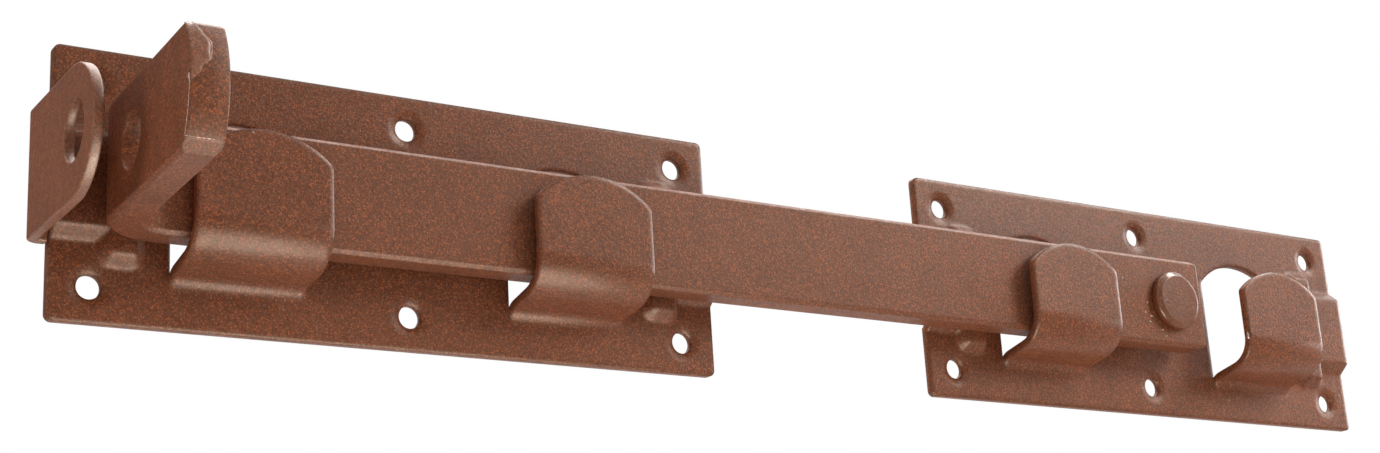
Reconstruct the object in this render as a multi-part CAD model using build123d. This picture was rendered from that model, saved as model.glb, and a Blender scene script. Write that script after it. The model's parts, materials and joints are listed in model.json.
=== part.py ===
"""Double gate hasp: two folded plates, a swinging bar with a bent lug, and a fixed padlock lug."""
import os
from math import cos, hypot, radians, sin, tan

from build123d import *

# Frame: X along the bar, Y away from the viewer, Z up.
# The origin is on the pivot, in the plane of the plates' backs.

# Plates, both stamped alike from one sheet thickness
sheet = 2.0
plate_length = 160.0
plate_height = 59.0
plate_corner = 1.5
leaf_gap = 67.5

# Screw holes, two rows of three in each plate
screw_hole = 5.2
screw_end_margin = 8.6
screw_side_margin = 7.7
screw_dish_width = 2.0
screw_dish_depth = 0.55

# Raised pocket at each plate end: a stem open at the end, then a wider head
pocket_rise = 2.9
pocket_flank_run = 2.6
pocket_stem_half = 12.4
pocket_head_half = 17.6
pocket_head_near = 9.5
pocket_head_far = 20.0
pocket_round = 3.3

# Swinging bar
bar_width = 25.0
bar_thick = 7.6
bar_edge_bevel = 0.9
bar_end_corner = 1.9
bar_tail = 11.1
bar_float = 0.6

# Bar lug, bent to the front at the bar's far end
lug_setback = 6.6
lug_lean = 2.0
lug_bend_radius = 5.7
lug_reach = 67.5
lug_tip_arch = 3.8
lug_tip_chamfer = 2.1
lug_tip_round = 2.0

# Padlock hole, shared by both lugs
padlock_hole = 12.5
padlock_hole_reach = 32.0

# Fixed lug with its foot held in the pocket
ear_thick = 2.3
ear_height = 27.4
ear_reach = 44.0
ear_stand = 2.3
ear_bend_radius = 0.6
ear_root_gap = 0.3
foot_clearance = 0.5

# Hooks, tongues lanced out of the plates and folded to the front
hook_inset = 25.3
hook_width = 30.0
hook_arch = 6.2
hook_corner = 1.7
hook_root = -21.4
hook_tip = 5.0
hook_play = 2.3
ramp_angle = 12.0
root_radius = 3.3
knee_radius = 6.7
forming_stretch = 1.11

# Pivot rivet and the spacer behind the bar
shank_diameter = 8.0
tail_diameter = 10.0
head_diameter = 16.0
head_wall = 1.8
head_bevel = 1.3
head_bevel_rise = 0.9
spacer_diameter = 17.0
running_clearance = 0.05
pivot_play = 0.2

# How far a cutter runs past the face it cuts, and how near a corner must be to be picked
overrun = 1.0
pick = 0.01

# Sizes that follow from the ones above
bar_back = sheet + pocket_rise + bar_float
bar_front = bar_back + bar_thick
hook_front = bar_front + hook_play + sheet
latch_centre = -(plate_length + leaf_gap)
latch_end = latch_centre - plate_length / 2
hook_centre = plate_length / 2 - hook_inset - hook_width / 2
lug_face = latch_end + lug_setback
ear_right = latch_end - ear_stand
ear_left = ear_right - ear_thick
pocket_roof = pocket_rise
ear_bend_end = pocket_roof + ear_bend_radius + ear_thick
flank_length = hypot(pocket_rise, pocket_flank_run)
pocket_back_inset = sheet * (flank_length - pocket_flank_run) / pocket_rise

SIDE_VIEW = Plane(origin=(0, 0, 0), x_dir=(0, -1, 0), z_dir=(-1, 0, 0))


def hook_lengths():
    """Mid-sheet radii, turn, straight ramp length and the height where the knee ends."""
    turn = radians(90 - ramp_angle)
    root = root_radius + sheet / 2
    knee = knee_radius + sheet / 2
    run = hook_front - sheet - (root + knee) * (1 - cos(turn))
    ramp = run / sin(turn)
    knee_end = hook_root + (root + knee) * sin(turn) + ramp * cos(turn)
    return root, knee, turn, ramp, knee_end


def window_height():
    """Side height of the window, from the tongue's developed length."""
    root, knee, turn, ramp, knee_end = hook_lengths()
    developed = (root + knee) * turn + ramp + hook_tip - knee_end
    return developed / forming_stretch


def arched_outline(width, bottom, side_top, arch, corner):
    """Upright outline with straight sides and an arched top, in the front view."""
    half = width / 2
    top = ThreePointArc((-half, side_top), (0, side_top + arch), (half, side_top))
    sides = Polyline((half, side_top), (half, bottom), (-half, bottom), (-half, side_top))
    face = make_face(top + sides)
    shoulders = face.vertices().filter_by_position(Axis.Y, side_top - pick, side_top + pick)
    return fillet(shoulders, corner)


def tongue():
    """One J-shaped tongue, centred on X, folded from the plate's own sheet."""
    root, knee, turn, ramp, knee_end = hook_lengths()
    turn_deg = 90 - ramp_angle
    root_arc = JernArc((sheet / 2, hook_root), (0, 1), root, -turn_deg)
    ramp_line = PolarLine(root_arc @ 1, ramp, ramp_angle)
    knee_arc = JernArc(ramp_line @ 1, ramp_line % 1, knee, turn_deg)
    rise_line = Line(knee_arc @ 1, (hook_front - sheet / 2, hook_tip + 2 * hook_arch))
    middle = Wire([root_arc.edge(), ramp_line.edge(), knee_arc.edge(), rise_line.edge()])
    section = make_face(middle.offset_2d(sheet / 2, side=Side.BOTH))
    strip = extrude(SIDE_VIEW * section, hook_width / 2, both=True)
    outline = arched_outline(hook_width, hook_root - sheet, hook_tip, hook_arch, hook_corner)
    trim = extrude(Plane.XZ * outline, 2 * hook_front)
    return strip & trim


def window():
    """Opening left in the plate where a tongue was lanced out."""
    top = hook_root + window_height()
    outline = arched_outline(hook_width, hook_root, top, hook_arch, hook_corner)
    return extrude(Plane.XZ * outline, 2 * sheet, both=True)


def pocket_tee(inset):
    """Sharp-cornered T of a pocket, X counted inboard from the plate's end, drawn in by the inset."""
    stem = pocket_stem_half - inset
    head = pocket_head_half - inset
    near = pocket_head_near + inset
    far = pocket_head_far - inset
    start = -2 * sheet
    points = [
        (start, -stem), (near, -stem), (near, -head), (far, -head),
        (far, head), (near, head), (near, stem), (start, stem),
    ]
    return make_face(Polyline(*points, close=True))


def pocket_outline():
    """T of a pocket with the corners of its head rounded."""
    face = pocket_tee(0)
    tips = [corner for corner in face.vertices() if abs(corner.Y) > pocket_head_half - pick]
    return fillet(tips, pocket_round)


def pocket_body():
    """Raised front of a pocket, with sloping flanks."""
    hill = extrude(Plane.XZ * pocket_outline(), sheet + pocket_rise)
    front = hill.faces().sort_by(Axis.Y)[0]
    return chamfer(front.edges(), pocket_flank_run, pocket_rise, reference=front)


def pocket_inside():
    """Hollow behind a pocket, open at the back and at the plate's end."""
    foot = Plane.XZ * pocket_tee(pocket_back_inset)
    roof = Plane.XZ.offset(pocket_rise) * pocket_tee(pocket_back_inset + pocket_flank_run)
    return loft([foot.face(), roof.face()], ruled=True)


def at_both_ends(shape):
    """A shape made at the left end, and its mirror image at the right end."""
    left = Pos(-plate_length / 2, 0, 0) * shape
    return left, mirror(left, Plane.YZ)


def screw_places():
    """Front-view centres of a plate's screw holes."""
    reach = plate_length / 2 - screw_end_margin
    height = plate_height / 2 - screw_side_margin
    return [(x, z) for x in (-reach, 0, reach) for z in (-height, height)]


def dished_hole(x, z):
    """Screw hole in a shallow dish."""
    radius = screw_hole / 2
    mouth = radius + screw_dish_width
    profile = Polyline(
        (0, overrun), (radius, overrun), (radius, screw_dish_depth - sheet), (mouth, -sheet),
        (mouth, -sheet - overrun), (0, -sheet - overrun), close=True,
    )
    return Pos(x, 0, z) * revolve(make_face(profile), Axis.Y)


def plate_stamping():
    """One plate centred on the origin: pockets, screw holes, windows and tongues."""
    outline = fillet(Rectangle(plate_length, plate_height).vertices(), plate_corner)
    plate = extrude(Plane.XZ * outline, sheet)
    limits = extrude(Plane.XZ * outline, 4 * sheet, both=True)
    for body in at_both_ends(pocket_body()):
        plate = plate + (body & limits)
    for hollow in at_both_ends(pocket_inside()):
        plate = plate - hollow
    for x, z in screw_places():
        plate = plate - dished_hole(x, z)
    for side in (-1, 1):
        place = Pos(side * hook_centre, 0, 0)
        plate = plate - place * window()
        plate = plate + place * tongue()
    return plate


def latch_plate():
    """Left plate, which catches the bar."""
    return Pos(latch_centre, 0, 0) * plate_stamping()


def pivot_plate():
    """Right plate, with a countersunk hole for the rivet's tail."""
    shank = shank_diameter / 2 + running_clearance
    tail = tail_diameter / 2 + running_clearance
    profile = Polyline(
        (0, overrun), (tail, overrun), (tail, 0), (shank, -sheet), (shank, -sheet - overrun),
        (0, -sheet - overrun), close=True,
    )
    return plate_stamping() - revolve(make_face(profile), Axis.Y)


def bar_plan():
    """Top view of the bar along its middle line: straight run, bend, and the lug that leans out."""
    middle = (bar_back + bar_front) / 2
    radius = lug_bend_radius + bar_thick / 2
    turn = radians(90 - lug_lean)
    bend_depth = middle + radius * (1 - cos(turn))
    lean_run = (padlock_hole_reach - bend_depth) * tan(radians(lug_lean))
    bend_start = lug_face + bar_thick / 2 + lean_run + radius * sin(turn)
    run = Line((bar_tail + bar_thick, -middle), (bend_start, -middle))
    bend = JernArc(run @ 1, run % 1, radius, 90 - lug_lean)
    lug = Line(bend @ 1, bend @ 1 + lug_reach * (bend % 1))
    line = Wire([run.edge(), bend.edge(), lug.edge()])
    return make_face(line.offset_2d(bar_thick / 2, side=Side.BOTH))


def lug_tip_trim():
    """Side outline of the lug's sheared end: a shallow arch, one corner rounded and one cut off."""
    half = bar_width / 2
    shoulder = lug_reach - lug_tip_arch
    arch = ThreePointArc((shoulder, half), (lug_reach, 0), (shoulder, -half))
    sides = Polyline((shoulder, -half), (0, -half), (0, half), (shoulder, half))
    face = make_face(arch + sides)
    tips = face.vertices().filter_by_position(Axis.X, shoulder - pick, shoulder + pick).sort_by(Axis.Y)
    face = chamfer(tips[0], lug_tip_chamfer)
    upper = face.vertices().filter_by_position(Axis.Y, half - pick, half + pick).sort_by(Axis.X)[-1]
    return fillet(upper, lug_tip_round)


def bar_tail_trim():
    """Front outline that rounds the two corners of the bar's tail."""
    length = 2 * (bar_tail - lug_face)
    outline = Pos(bar_tail - length / 2, 0) * Rectangle(length, bar_width)
    return fillet(outline.vertices().sort_by(Axis.X)[-2:], bar_end_corner)


def hasp_bar():
    """Flat bar with its far end bent to the front as a lug."""
    bar = extrude(bar_plan(), bar_width / 2, both=True)
    flats = bar.faces().filter_by(Axis.Z)
    long_edges = [edge for face in flats for edge in face.edges() if edge.length > bar_thick + pick]
    bar = chamfer(long_edges, bar_edge_bevel)
    bar = bar & extrude(SIDE_VIEW * lug_tip_trim(), 4 * plate_length, both=True)
    bar = bar & extrude(Plane.XZ * bar_tail_trim(), 2 * lug_reach)
    eye = Pos(lug_face, -padlock_hole_reach, 0) * Rot(0, 90, 0) * Cylinder(padlock_hole / 2, 4 * bar_thick)
    pivot = Rot(90, 0, 0) * Cylinder(shank_diameter / 2 + running_clearance, 4 * bar_front)
    return bar - eye - pivot


def ear_outline():
    """Side view of the fixed lug's ear, X to the front, from the bend to its half-round end."""
    half = ear_height / 2
    shoulder = ear_reach - half
    end = ThreePointArc((shoulder, half), (ear_reach, 0), (shoulder, -half))
    sides = Polyline((shoulder, -half), (ear_bend_end, -half), (ear_bend_end, half), (shoulder, half))
    return make_face(end + sides)


def foot_bend(foot_end):
    """Top view of the fixed lug's foot, bent up to where the ear starts."""
    foot_back = ear_thick - pocket_roof
    outer = ear_bend_radius + ear_thick
    points = [
        (ear_left, -ear_bend_end), (ear_left, foot_back), (foot_end, foot_back),
        (foot_end, -pocket_roof), (ear_right, -pocket_roof), (ear_right, -ear_bend_end),
    ]
    face = make_face(Polyline(*points, close=True))
    outside = face.vertices().sort_by_distance((ear_left, foot_back))[0]
    face = fillet(outside, outer)
    inside = face.vertices().sort_by_distance((ear_right, -pocket_roof))[0]
    return fillet(inside, ear_bend_radius)


def padlock_lug():
    """Fixed lug: a round-ended ear, a full-height bend, and a narrow T-headed foot inside the pocket."""
    shrink = pocket_flank_run + pocket_back_inset + foot_clearance
    neck_width = 2 * (pocket_stem_half - shrink)
    head_width = 2 * (pocket_head_half - shrink)
    head_start = latch_end + pocket_head_near + shrink
    head_length = pocket_head_far - pocket_head_near - 2 * shrink
    ear = Pos(ear_right, 0, 0) * extrude(SIDE_VIEW * ear_outline(), ear_thick)
    shoulder = extrude(foot_bend(latch_end - ear_root_gap), ear_height / 2, both=True)
    neck = extrude(foot_bend(head_start), neck_width / 2, both=True)
    middle = Pos(head_start + head_length / 2, ear_thick / 2 - pocket_roof, 0)
    head = middle * Box(head_length, ear_thick, head_width)
    eye = Pos(ear_left, -padlock_hole_reach, 0) * Rot(0, 90, 0) * Cylinder(padlock_hole / 2, 4 * ear_thick)
    return ear + shoulder + neck + head - eye


def pivot_rivet():
    """Rivet: bevelled head in front, shank, and a tail spread flush behind the plate."""
    shank = shank_diameter / 2
    tail = tail_diameter / 2
    head = head_diameter / 2
    under = -(bar_front + pivot_play)
    wall = under - head_wall
    top = wall - head_bevel_rise
    profile = Polyline(
        (0, top), (0, 0), (tail, 0), (shank, -sheet), (shank, under), (head, under), (head, wall),
        (head - head_bevel, top), close=True,
    )
    return revolve(make_face(profile), Axis.Y)


def pivot_spacer():
    """Washer that holds the bar off the plate at the rivet."""
    thick = bar_back - sheet - pivot_play
    ring = Circle(spacer_diameter / 2) - Circle(shank_diameter / 2 + running_clearance)
    return extrude(Plane.XZ.offset(sheet) * ring, thick)


os.makedirs("parts", exist_ok=True)
for make in (latch_plate, pivot_plate, hasp_bar, padlock_lug, pivot_rivet, pivot_spacer):
    export_step(make(), os.path.join("parts", make.__name__ + ".step"))
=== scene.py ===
"""Looks of the double gate hasp: a speckled brown coat, bright edges, burrs and a white studio."""
import json
import math
import random
from collections import namedtuple

import bmesh
import bpy
from mathutils import Matrix, Vector, noise as field


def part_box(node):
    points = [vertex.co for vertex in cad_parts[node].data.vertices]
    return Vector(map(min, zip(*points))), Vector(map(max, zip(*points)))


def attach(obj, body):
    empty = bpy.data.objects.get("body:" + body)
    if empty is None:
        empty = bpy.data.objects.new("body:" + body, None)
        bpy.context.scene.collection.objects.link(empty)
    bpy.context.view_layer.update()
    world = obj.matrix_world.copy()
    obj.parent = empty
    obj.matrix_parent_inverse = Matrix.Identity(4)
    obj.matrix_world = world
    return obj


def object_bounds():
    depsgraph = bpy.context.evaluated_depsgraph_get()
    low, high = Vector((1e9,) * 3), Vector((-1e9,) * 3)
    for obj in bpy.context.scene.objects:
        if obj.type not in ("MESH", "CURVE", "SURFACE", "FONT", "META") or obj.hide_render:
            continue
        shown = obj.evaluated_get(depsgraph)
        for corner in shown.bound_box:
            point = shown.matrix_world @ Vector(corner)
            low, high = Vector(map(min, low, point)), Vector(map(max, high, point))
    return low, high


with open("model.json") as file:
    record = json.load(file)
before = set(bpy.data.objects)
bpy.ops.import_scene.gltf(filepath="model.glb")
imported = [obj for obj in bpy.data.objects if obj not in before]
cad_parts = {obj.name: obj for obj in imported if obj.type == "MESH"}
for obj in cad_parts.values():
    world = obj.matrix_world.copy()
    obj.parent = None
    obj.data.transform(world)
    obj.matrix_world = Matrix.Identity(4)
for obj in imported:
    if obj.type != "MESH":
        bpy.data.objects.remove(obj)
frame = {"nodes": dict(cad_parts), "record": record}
cad_low, cad_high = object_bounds()

# Camera, in metres and degrees
CAMERA_AT = Vector((-0.42595, -0.40727, -0.13856))
CAMERA_AIM = Vector((-0.15705, -0.00952, 0.00486))
CAMERA_ROLL = -3.52
CAMERA_NEAR = 0.01
FOCAL_PIXELS = 2098.0
PHOTO_WIDTH = 1380
SENSOR = 36.0

# Coat colours, linear
BROWN = (0.235, 0.070, 0.028, 1)
DARK_BROWN = (0.125, 0.036, 0.015, 1)
ORANGE_FLECK = (0.460, 0.120, 0.038, 1)
GREY_FLECK = (0.270, 0.140, 0.090, 1)
DARK_FLECK = (0.060, 0.020, 0.012, 1)
# PALE_EDGE is the pale colour on edges, partly worn coat and partly a painted edge highlight; chips use it
# as tarnish
PALE_EDGE = (0.330, 0.170, 0.115, 1)
SPATTER = (0.560, 0.420, 0.330, 1)
BARE_METAL = (0.600, 0.540, 0.500, 1)
SHEEN_TINT = (1.000, 0.920, 0.750, 1)

# Coat grain, in metres
GRAIN = 0.00042
FLECK = 0.00040
MOTTLE = 0.014
# Size of the patches that vary the pale edges, which are partly wear and partly a painted edge highlight
EDGE_PATCH_SIZE = MOTTLE / 3
PEEL = 0.0010
BUMP_DEPTH = 0.00010
SPATTER_SPACING = 0.0060

# Ranges that noise and distances are read over
GROUND_RANGE = (0.36, 0.64)
FLECK_RANGE = (0.62, 0.30)
NOISE_RANGE = (0.3, 0.7)
PATCH_RANGE = (0.35, 0.65)
EDGE_RANGE = (0.97, 0.78)

# Strength of each effect in the coat
MOTTLE_DEPTH = 0.10
# Shares of pale edge colour: partly wear, partly a painted edge highlight
EDGE_WEAR_AND_HIGHLIGHT_SHARES = (0.05, 0.35)
ROUGH_SPREAD = 0.07
EDGE_SHINE_AT = 0.6
EDGE_SHINE = 0.5
SPATTER_SIZE = 0.045
SPATTER_CHANCE = 0.88
SPATTER_SHARE = 0.8
FLECK_RISE = 0.7
BUMP_STRENGTH = 0.45
BEVEL_SAMPLES = 8

# Flecks: the random channel that places them, the level they start at, their share and their colour
FLECKS = (
    ("Red", 0.68, 0.85, ORANGE_FLECK),
    ("Blue", 0.78, 0.70, DARK_FLECK),
    ("Green", 0.88, 0.55, GREY_FLECK),
)

# Finish of each slot. The rounds and the edge width are in metres: edge_round is where the coat is painted
# paler, partly for wear and partly as a painted edge highlight, form_round softens the shading of folds and
# edge_width is the round on sharp edges.
Finish = namedtuple("Finish", "rough flecks sheen tone edge_round form_round edge_width")
FINISHES = {
    "plate_coat": Finish(0.38, 1.00, 0.22, 1.00, 0.0012, 0.0017, 0.00070),
    "bar_coat": Finish(0.48, 1.00, 0.22, 1.00, 0.0006, 0.0006, 0.00035),
    # The lug coat's tone of 1.15 is painted light: it lightens the ear's coat to stand in for fill light
    # that the ear does not get
    "lug_coat": Finish(0.44, 0.65, 0.50, 1.15, 0.0008, 0.0008, 0.00040),
    "rivet_coat": Finish(0.15, 0.45, 0.38, 1.00, 0.0004, 0.0004, 0.00020),
}

# Bare metal in chips
CHIP_METAL = 0.6
CHIP_ROUGH = (0.25, 0.45)

# Rounds on sharp edges, in metres and degrees
WELD_REACH = 0.000002
FLAT_ANGLE = 0.5
SHARP_ANGLE = 35.0
ROUND_STEPS = 2

# Bar's lug, in metres and degrees
LUG_THICK = 0.0076
LUG_ARCH = 0.0038
LUG_LEAN = 2.0

# Torn lip on the lug's sheared end, in metres
LIP_HEIGHT = 0.00060
LIP_DEPTH = 0.0004
LIP_TOP_GAP = 0.0006
LIP_BOTTOM = -0.0010
LIP_INSET = 0.00005
LIP_ROUGH = 0.00010
LIP_ROWS = 40
LIP_COLUMNS = 14

# Torn lip's ragged edge: shares of the way down, each with a share of the lug's thickness
LIP_STOPS = ((0.0, 0.18), (0.16, 0.36), (0.36, 0.56), (0.56, 0.53), (0.78, 0.30), (1.0, 0.03))
LIP_RAGGED = 0.04
LIP_LEAST = 0.02
LIP_TOP_FADE = 0.12
LIP_BOTTOM_FADE = 0.3
LIP_ROLL_AT = 0.82
LIP_THIN_SIDE = 0.35

# Burrs on the lug's sheared end, in metres and shares
BURR = 0.00012
BURR_STEPS = 36
BURR_LENGTH = 2.5
LIP_BURRS = 0.66
LIP_BURR_RISE = 0.8
EDGE_BURRS = 0.82
CORNER_BURRS = 0.83
CORNER_BURR_RUN = 1.5
CORNER_BURR_LENGTH = 3

# Larger chips on the lug's end: shares across and up, and half sizes in metres
LUG_CHIPS = (
    (0.40, 0.27, (0.00025, 0.00020, 0.00030)),
    (0.0, 0.02, (0.00028, 0.00030, 0.00065)),
)
CHIP_SINK = 0.2
CHIP_MARGIN = 1.4

# Chip on the left edge of the empty hook: its place and half sizes, in metres
HOOK_CHIP = ((0.0247, -0.0166, -0.0085), (0.00030, 0.00050, 0.00110))

# Beads on the bar's front near the rivet, in the chip finish: X, Z and half sizes, in metres
BAR_FRONT = -0.0131
COAT_BEADS = (
    (-0.0099, -0.0012, (0.00030, 0.00012, 0.00022)),
    (-0.0088, -0.0049, (0.00070, 0.00014, 0.00025)),
    (-0.0096, -0.0065, (0.00040, 0.00012, 0.00020)),
    (-0.0052, -0.0085, (0.00035, 0.00012, 0.00025)),
    (-0.0110, -0.0040, (0.00022, 0.00010, 0.00018)),
    (-0.0040, -0.0101, (0.00025, 0.00010, 0.00018)),
)

# Shape of a bead
BEAD_ROUNDS = 2
BEAD_LUMPS = 0.35
BEAD_LUMP_SCALE = 1.3
BEAD_SHIFT = 50

# Floor and card, in metres
FLOOR_DROP = 0.16
FLOOR_SIZE = 6.0
FLOOR_COLOUR = (0.86, 0.86, 0.85, 1)
CARD_SIDE = Vector((-0.54, 0.79, 0.29))
CARD_SIZE = 0.45
CARD_DISTANCE = 0.35
CARD_COLOUR = (0.24, 0.22, 0.21, 1)
STAGE_ROUGH = 0.9

# Lamps that face the part's centre: offset and size in metres, power in watts
Lamp = namedtuple("Lamp", "name offset size power")
SOFT_LAMPS = (
    Lamp("key", (0.70, -0.60, 0.50), (0.40, 0.40), 6.2),
    Lamp("fill", (-1.00, -0.10, 0.10), (0.60, 0.60), 1.7),
    Lamp("top", (0.0, 0.35, 0.85), (0.80, 0.80), 11.0),
)

# Lamps that show only in reflections
SHEEN_LAMPS = (
    Lamp("rim", (0.66, -0.26, 0.76), (0.40, 0.40), 8.5),
    Lamp("side", (1.02, -0.02, 0.26), (0.40, 0.40), 5.5),
    Lamp("back", (0.55, 0.30, 0.58), (0.40, 0.40), 2.5),
)

# Strip below the left hooks, which faces up and lights their knees
STRIP = Lamp("strip", (-0.09, -0.12, -0.17), (0.26, 0.22), 2.1)
UP = Vector((0, 0, 1))

# World
WHITE = (1, 1, 1, 1)
WORLD_FILL = 0.20


def new_material(name):
    """An empty node material with its output and main shader."""
    material = bpy.data.materials.new(name)
    material.use_nodes = True
    tree = material.node_tree
    tree.nodes.clear()
    output = tree.nodes.new("ShaderNodeOutputMaterial")
    shader = tree.nodes.new("ShaderNodeBsdfPrincipled")
    tree.links.new(shader.outputs["BSDF"], output.inputs["Surface"])
    return material, tree, shader


def noise(tree, place, size, detail=2.0):
    """Noise with features of the given size in metres."""
    node = tree.nodes.new("ShaderNodeTexNoise")
    node.inputs["Scale"].default_value = 1 / size
    node.inputs["Detail"].default_value = detail
    tree.links.new(place, node.inputs["Vector"])
    return node.outputs["Fac"]


def cells(tree, place, size):
    """Voronoi cells of the given size in metres: the distance to a cell's point and three random values."""
    node = tree.nodes.new("ShaderNodeTexVoronoi")
    node.inputs["Scale"].default_value = 1 / size
    tree.links.new(place, node.inputs["Vector"])
    split = tree.nodes.new("ShaderNodeSeparateColor")
    tree.links.new(node.outputs["Color"], split.inputs["Color"])
    return node.outputs["Distance"], split.outputs


def math_node(tree, kind, first, second):
    """One sum on two values, each a socket or a number."""
    node = tree.nodes.new("ShaderNodeMath")
    node.operation = kind
    for socket, value in zip(node.inputs, (first, second)):
        if isinstance(value, (int, float)):
            socket.default_value = value
        else:
            tree.links.new(value, socket)
    return node.outputs["Value"]


def product(tree, first, second):
    """Two values multiplied."""
    return math_node(tree, "MULTIPLY", first, second)


def span(tree, value, source, result=(0.0, 1.0)):
    """A value mapped from one range to another, held at its ends."""
    node = tree.nodes.new("ShaderNodeMapRange")
    names = ("From Min", "From Max", "To Min", "To Max")
    for name, number in zip(names, source + result):
        node.inputs[name].default_value = number
    tree.links.new(value, node.inputs["Value"])
    return node.outputs["Result"]


def mix(tree, share, first, second, kind="MIX"):
    """Two colours mixed by a share."""
    node = tree.nodes.new("ShaderNodeMix")
    node.data_type = "RGBA"
    node.blend_type = kind
    sockets = {socket.identifier: socket for socket in node.inputs}
    for name, value in (("Factor_Float", share), ("A_Color", first), ("B_Color", second)):
        if isinstance(value, (int, float, tuple)):
            sockets[name].default_value = value
        else:
            tree.links.new(value, sockets[name])
    return {socket.identifier: socket for socket in node.outputs}["Result_Color"]


def grey(tree, value):
    """A value as a grey colour."""
    node = tree.nodes.new("ShaderNodeCombineColor")
    for channel in ("Red", "Green", "Blue"):
        tree.links.new(value, node.inputs[channel])
    return node.outputs["Color"]


def round_normal(tree, radius):
    """The normal of a surface whose edges are rounded by a radius."""
    bevel = tree.nodes.new("ShaderNodeBevel")
    bevel.samples = BEVEL_SAMPLES
    bevel.inputs["Radius"].default_value = radius
    return bevel.outputs["Normal"]


def edge_mask(tree, radius):
    """Bright near sharp edges, found from how far a rounded normal leans from the true one."""
    geometry = tree.nodes.new("ShaderNodeNewGeometry")
    dot = tree.nodes.new("ShaderNodeVectorMath")
    dot.operation = "DOT_PRODUCT"
    tree.links.new(round_normal(tree, radius), dot.inputs[0])
    tree.links.new(geometry.outputs["Normal"], dot.inputs[1])
    return span(tree, dot.outputs["Value"], EDGE_RANGE)


def speckle(tree, place, strength):
    """Brown ground with orange, dark and grey flecks, and a random value for each fleck."""
    ground = mix(tree, span(tree, noise(tree, place, GRAIN, 3.0), GROUND_RANGE), DARK_BROWN, BROWN)
    distance, chances = cells(tree, place, FLECK)
    body = span(tree, distance, FLECK_RANGE)
    for channel, level, share, fleck in FLECKS:
        chosen = math_node(tree, "GREATER_THAN", chances[channel], level)
        ground = mix(tree, product(tree, product(tree, chosen, body), share * strength), ground, fleck)
    return ground, chances["Red"]


def spatter_mask(tree, place):
    """Bright in a few small spots."""
    distance, chances = cells(tree, place, SPATTER_SPACING)
    near = math_node(tree, "LESS_THAN", distance, SPATTER_SIZE)
    chosen = math_node(tree, "GREATER_THAN", chances["Red"], SPATTER_CHANCE)
    return product(tree, product(tree, near, chosen), SPATTER_SHARE)


def coat(name, finish):
    """Satin powder coat: speckle, mottling, orange peel, spatter, and pale, shinier edges, their paleness
    partly wear and partly a painted edge highlight.
    """
    material, tree, shader = new_material(name)
    place = tree.nodes.new("ShaderNodeTexCoord").outputs["Object"]
    colour, fleck_value = speckle(tree, place, finish.flecks)
    # For the lug coat the tone is painted light, brightening the ear as if it were better lit
    tones = ((1 - MOTTLE_DEPTH) * finish.tone, (1 + MOTTLE_DEPTH) * finish.tone)
    mottle = span(tree, noise(tree, place, MOTTLE, 3.0), NOISE_RANGE, tones)
    colour = mix(tree, 1.0, colour, grey(tree, mottle), "MULTIPLY")
    edge = edge_mask(tree, finish.edge_round)
    # Pale edges: partly coat worn thin, partly a painted highlight along every sharp edge
    wear_and_edge_highlight = product(tree, edge, span(tree, noise(tree, place, EDGE_PATCH_SIZE), PATCH_RANGE, EDGE_WEAR_AND_HIGHLIGHT_SHARES))
    colour = mix(tree, wear_and_edge_highlight, colour, PALE_EDGE)
    colour = mix(tree, spatter_mask(tree, place), colour, SPATTER)
    tree.links.new(colour, shader.inputs["Base Color"])
    roughs = (finish.rough - ROUGH_SPREAD, finish.rough + ROUGH_SPREAD)
    rough = span(tree, noise(tree, place, PEEL * 2), NOISE_RANGE, roughs)
    rough = product(tree, rough, span(tree, edge, (0.0, EDGE_SHINE_AT), (1.0, EDGE_SHINE)))
    tree.links.new(rough, shader.inputs["Roughness"])
    shader.inputs["Specular IOR Level"].default_value = finish.sheen
    shader.inputs["Specular Tint"].default_value = SHEEN_TINT
    height = math_node(tree, "ADD", noise(tree, place, PEEL), product(tree, fleck_value, FLECK_RISE))
    bump = tree.nodes.new("ShaderNodeBump")
    bump.inputs["Strength"].default_value = BUMP_STRENGTH
    bump.inputs["Distance"].default_value = BUMP_DEPTH
    tree.links.new(height, bump.inputs["Height"])
    tree.links.new(round_normal(tree, finish.form_round), bump.inputs["Normal"])
    tree.links.new(bump.outputs["Normal"], shader.inputs["Normal"])
    return material


def chip_material():
    """Bare steel where the coat is chipped, slightly tarnished."""
    material, tree, shader = new_material("chip_metal")
    place = tree.nodes.new("ShaderNodeTexCoord").outputs["Object"]
    tarnish = span(tree, noise(tree, place, GRAIN / 2), PATCH_RANGE)
    tree.links.new(mix(tree, tarnish, BARE_METAL, PALE_EDGE), shader.inputs["Base Color"])
    shader.inputs["Metallic"].default_value = CHIP_METAL
    rough = span(tree, noise(tree, place, GRAIN), NOISE_RANGE, CHIP_ROUGH)
    tree.links.new(rough, shader.inputs["Roughness"])
    return material


def soften(node, width):
    """Small rounds on a node's sharp edges, as a coat leaves them."""
    weld = node.modifiers.new("weld", "WELD")
    weld.merge_threshold = WELD_REACH
    flats = node.modifiers.new("flats", "DECIMATE")
    flats.decimate_type = "DISSOLVE"
    flats.angle_limit = math.radians(FLAT_ANGLE)
    rounds = node.modifiers.new("rounds", "BEVEL")
    rounds.width = width
    rounds.segments = ROUND_STEPS
    rounds.limit_method = "ANGLE"
    rounds.angle_limit = math.radians(SHARP_ANGLE)


def dress(coats):
    """The coat on every CAD node, with softened edges."""
    slots = {part["node"]: part["material_slot"] for part in frame["record"]["subparts"]}
    for name, node in frame["nodes"].items():
        node.data.materials.clear()
        node.data.materials.append(coats[slots[name]])
        soften(node, FINISHES[slots[name]].edge_width)


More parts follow.
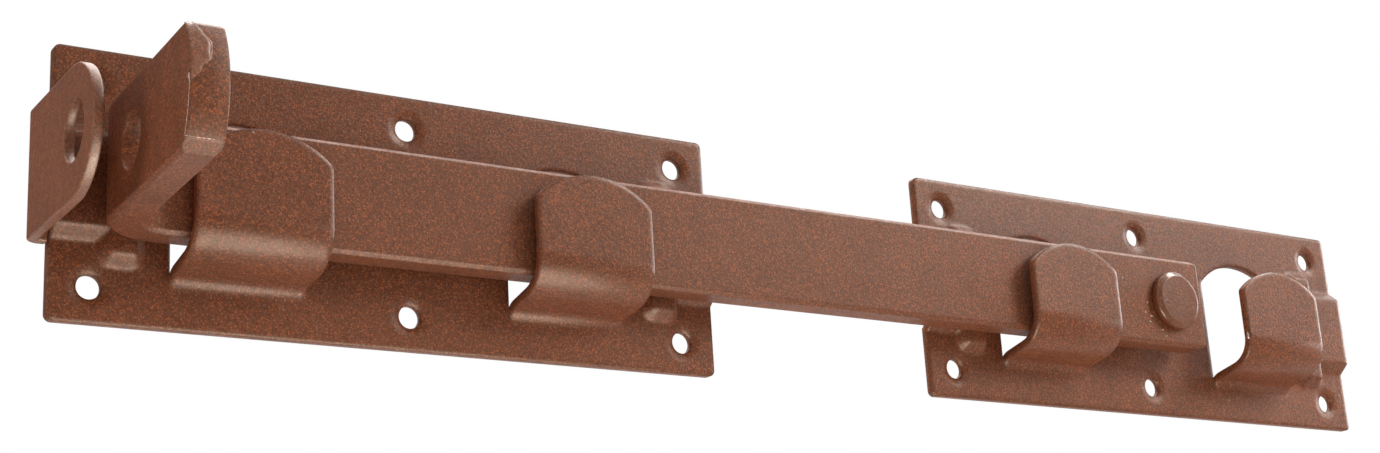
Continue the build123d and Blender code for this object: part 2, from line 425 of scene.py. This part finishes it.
def add_piece(name, mesh_data, material, body):
    """A new object that rides on a body and takes a slot's finish."""
    mesh = bpy.data.meshes.new(name)
    mesh_data.to_mesh(mesh)
    mesh_data.free()
    mesh.materials.append(material)
    for face in mesh.polygons:
        face.use_smooth = True
    piece = bpy.data.objects.new(name, mesh)
    bpy.context.scene.collection.objects.link(piece)
    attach(piece, body)


def lug_end(height):
    """Y of the lug's arched end face at a height, in the frame."""
    low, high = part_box("hasp_bar")
    half = (high.z - low.z) / 2
    radius = (half * half + LUG_ARCH * LUG_ARCH) / (2 * LUG_ARCH)
    return low.y + radius - math.sqrt(radius * radius - height * height)


def lug_left(y):
    """X of the lug's outer face at a depth, in the frame."""
    low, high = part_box("hasp_bar")
    return low.x + (y - low.y) * math.tan(math.radians(LUG_LEAN))


def lip_edge(share):
    """How far across the end face the torn lip reaches, by its share of the way down."""
    for (start, first), (end, second) in zip(LIP_STOPS, LIP_STOPS[1:]):
        if share <= end:
            blend = (share - start) / (end - start)
            blend = blend * blend * (3 - 2 * blend)
            return first + (second - first) * blend
    return LIP_STOPS[-1][1]


def fade(share, run):
    """A rise from 0 to 1 over a run."""
    return math.sin(math.pi * min(1.0, share / run) / 2)


def lip_row(mesh_data, share):
    """One row of the torn lip's front and hidden points, by its share of the way down."""
    low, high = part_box("hasp_bar")
    top = high.z - LIP_TOP_GAP
    z = top + (LIP_BOTTOM - top) * share
    y = lug_end(z)
    ragged = LIP_RAGGED * field.noise(Vector((share * 9.0, 3.1, 0.7)))
    width = LUG_THICK * max(lip_edge(share) + ragged, LIP_LEAST)
    swell = fade(share, LIP_TOP_FADE) * fade(1 - share, LIP_BOTTOM_FADE)
    front = []
    hidden = []
    for column in range(LIP_COLUMNS + 1):
        across = column / LIP_COLUMNS
        past_roll = max(0.0, (across - LIP_ROLL_AT) / (1 - LIP_ROLL_AT))
        roll = math.sqrt(max(0.0, 1 - past_roll ** 2))
        rough = LIP_ROUGH * field.noise(Vector((across * 6.0, share * 14.0, 2.3)))
        thick = LIP_HEIGHT * (LIP_THIN_SIDE + (1 - LIP_THIN_SIDE) * across) + rough
        rise = thick * swell * roll - LIP_INSET * (1 - roll)
        x = lug_left(y) + LIP_INSET + width * across
        front.append(mesh_data.verts.new((x, max(y - rise, low.y), z)))
        hidden.append(mesh_data.verts.new((x, y + LIP_DEPTH, z)))
    return front, hidden


def bridge(mesh_data, first, second):
    """A row of quads between two lines of points."""
    for step in range(len(first) - 1):
        mesh_data.faces.new((first[step], first[step + 1], second[step + 1], second[step]))


def torn_lip(material):
    """Thin lip of torn steel on the sheared end of the lug, thickest along its ragged edge."""
    mesh_data = bmesh.new()
    rows = [lip_row(mesh_data, row / LIP_ROWS) for row in range(LIP_ROWS + 1)]
    for (front, hidden), (next_front, next_hidden) in zip(rows, rows[1:]):
        bridge(mesh_data, front, next_front)
        bridge(mesh_data, hidden, next_hidden)
    for column in (0, LIP_COLUMNS):
        bridge(mesh_data, [front[column] for front, _ in rows], [hidden[column] for _, hidden in rows])
    for front, hidden in (rows[0], rows[-1]):
        bridge(mesh_data, front, hidden)
    bmesh.ops.recalc_face_normals(mesh_data, faces=mesh_data.faces)
    add_piece("torn_lip", mesh_data, material, "bar")


def beads(name, spots, material, body, seed):
    """Small uneven beads, each a place and three half sizes, joined as one piece."""
    draw = random.Random(seed)
    mesh_data = bmesh.new()
    for place, half_sizes in spots:
        shape = bmesh.ops.create_icosphere(mesh_data, subdivisions=BEAD_ROUNDS, radius=1.0)
        shift = Vector((draw.uniform(0, BEAD_SHIFT), 0, 0))
        for vertex in shape["verts"]:
            lump = 1 + BEAD_LUMPS * field.noise(vertex.co * BEAD_LUMP_SCALE + shift)
            vertex.co = Vector(place) + Vector([lump * c * s for c, s in zip(vertex.co, half_sizes)])
    add_piece(name, mesh_data, material, body)


def lip_front(share):
    """Place of the torn lip's ragged edge, by its share of the way down."""
    low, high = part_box("hasp_bar")
    z = LIP_BOTTOM + (high.z - LIP_TOP_GAP - LIP_BOTTOM) * (1 - share)
    y = lug_end(z)
    return Vector((lug_left(y) + LUG_THICK * lip_edge(share), y, z))


def lug_burrs(material):
    """Bright burrs on the lug's sheared end: along the lip, the outer edge and the corner, and two chips."""
    low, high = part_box("hasp_bar")
    half = (high.z - low.z) / 2
    draw = random.Random(11)
    spots = []
    for step in range(BURR_STEPS):
        place = lip_front(LIP_BURRS * step / BURR_STEPS)
        place.y = max(place.y - LIP_BURR_RISE * LIP_HEIGHT, low.y + BURR)
        size = BURR * draw.uniform(0.35, 0.75)
        spots.append((place, (size, size, BURR_LENGTH * size)))
    for step in range(BURR_STEPS):
        z = -EDGE_BURRS * half * step / BURR_STEPS
        y = lug_end(z) + 2 * BURR
        size = BURR * draw.uniform(0.45, 1.0)
        spots.append(((lug_left(y), y, z), (size, size, BURR_LENGTH * size)))
    for step in range(BURR_STEPS // 2):
        z = -CORNER_BURRS * half
        y = lug_end(z)
        x = lug_left(y) + CORNER_BURR_RUN * LUG_THICK * step / BURR_STEPS
        size = BURR * draw.uniform(0.2, 0.6)
        spots.append(((x, y, z), (CORNER_BURR_LENGTH * size, size, size)))
    for across, up, sizes in LUG_CHIPS:
        z = half * up
        y = max(lug_end(z) - CHIP_SINK * sizes[1], low.y + CHIP_MARGIN * sizes[1])
        spots.append(((lug_left(y) + LUG_THICK * across, y, z), sizes))
    beads("lug_burrs", spots, material, "bar", seed=5)


def hook_chip(material):
    """A chip in the coat on the left edge of the empty hook."""
    beads("hook_chip", [HOOK_CHIP], material, "plates", seed=3)


def coat_beads(material):
    """Beads on the bar, below and left of the rivet's head, in the chip finish."""
    spots = [((x, BAR_FRONT, z), sizes) for x, z, sizes in COAT_BEADS]
    beads("coat_beads", spots, material, "bar", seed=8)


def make_camera():
    """Camera at the photograph's place."""
    forward = (CAMERA_AIM - CAMERA_AT).normalized()
    level = forward.cross(UP).normalized()
    raised = level.cross(forward)
    roll = math.radians(CAMERA_ROLL)
    right = level * math.cos(roll) + raised * math.sin(roll)
    up = raised * math.cos(roll) - level * math.sin(roll)
    data = bpy.data.cameras.new("camera")
    data.sensor_width = SENSOR
    data.lens = FOCAL_PIXELS / PHOTO_WIDTH * SENSOR
    data.clip_start = CAMERA_NEAR
    camera = bpy.data.objects.new("camera", data)
    turn = Matrix((right, up, -forward)).transposed().to_4x4()
    camera.matrix_world = Matrix.Translation(CAMERA_AT) @ turn
    bpy.context.scene.collection.objects.link(camera)
    bpy.context.scene.camera = camera


def area_light(lamp, place, aim):
    """A soft lamp that faces a point, hidden from the camera."""
    data = bpy.data.lights.new(lamp.name, "AREA")
    data.shape = "RECTANGLE"
    data.size, data.size_y = lamp.size
    data.energy = lamp.power
    light = bpy.data.objects.new(lamp.name, data)
    light.visible_camera = False
    light.location = place
    light.rotation_euler = (aim - place).to_track_quat("-Z", "Y").to_euler()
    bpy.context.scene.collection.objects.link(light)
    return light


def stage_sheet(name, size, matrix, colour):
    """A flat sheet of the studio, with a matt finish."""
    half = size / 2
    corners = [(-half, -half, 0), (half, -half, 0), (half, half, 0), (-half, half, 0)]
    mesh = bpy.data.meshes.new(name)
    mesh.from_pydata(corners, [], [(0, 1, 2, 3)])
    sheet = bpy.data.objects.new(name, mesh)
    sheet.matrix_world = matrix
    bpy.context.scene.collection.objects.link(sheet)
    material, tree, shader = new_material(name + "_paint")
    shader.inputs["Base Color"].default_value = colour
    shader.inputs["Roughness"].default_value = STAGE_ROUGH
    mesh.materials.append(material)
    return sheet


def make_studio():
    """Pale floor, soft lamps, and a dark card that keeps the left faces from a white haze."""
    centre = (cad_low + cad_high) / 2
    for lamp in SOFT_LAMPS:
        area_light(lamp, centre + Vector(lamp.offset), centre)
    sheens = [area_light(lamp, centre + Vector(lamp.offset), centre) for lamp in SHEEN_LAMPS]
    below = centre + Vector(STRIP.offset)
    sheens.append(area_light(STRIP, below, below + UP))
    for sheen in sheens:
        sheen.visible_diffuse = False
    floor_at = Matrix.Translation((centre.x, centre.y, cad_low.z - FLOOR_DROP))
    stage_sheet("floor", FLOOR_SIZE, floor_at, FLOOR_COLOUR)
    turn = CARD_SIDE.to_track_quat("Z", "Y").to_matrix().to_4x4()
    ear = (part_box("padlock_lug")[0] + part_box("padlock_lug")[1]) / 2
    card_at = Matrix.Translation(ear + CARD_SIDE * CARD_DISTANCE) @ turn
    card = stage_sheet("card", CARD_SIZE, card_at, CARD_COLOUR)
    card.visible_camera = False


def make_world():
    """White to the camera and in reflections, and a soft fill to the rest."""
    world = bpy.data.worlds.new("studio")
    bpy.context.scene.world = world
    world.use_nodes = True
    tree = world.node_tree
    tree.nodes.clear()
    output = tree.nodes.new("ShaderNodeOutputWorld")
    light_path = tree.nodes.new("ShaderNodeLightPath")
    seen = light_path.outputs["Is Camera Ray"]
    for ray in ("Is Glossy Ray", "Is Transmission Ray"):
        seen = math_node(tree, "MAXIMUM", seen, light_path.outputs[ray])
    white = tree.nodes.new("ShaderNodeBackground")
    fill = tree.nodes.new("ShaderNodeBackground")
    fill.inputs["Strength"].default_value = WORLD_FILL
    for background in (white, fill):
        background.inputs["Color"].default_value = WHITE
    choose = tree.nodes.new("ShaderNodeMixShader")
    tree.links.new(seen, choose.inputs["Fac"])
    tree.links.new(fill.outputs["Background"], choose.inputs[1])
    tree.links.new(white.outputs["Background"], choose.inputs[2])
    tree.links.new(choose.outputs["Shader"], output.inputs["Surface"])


coats = {name: coat(name, finish) for name, finish in FINISHES.items()}
chips = chip_material()
dress(coats)
torn_lip(coats["lug_coat"])
lug_burrs(chips)
hook_chip(chips)
coat_beads(chips)
make_camera()
make_studio()
make_world()
bpy.context.scene.view_settings.view_transform = "Standard"
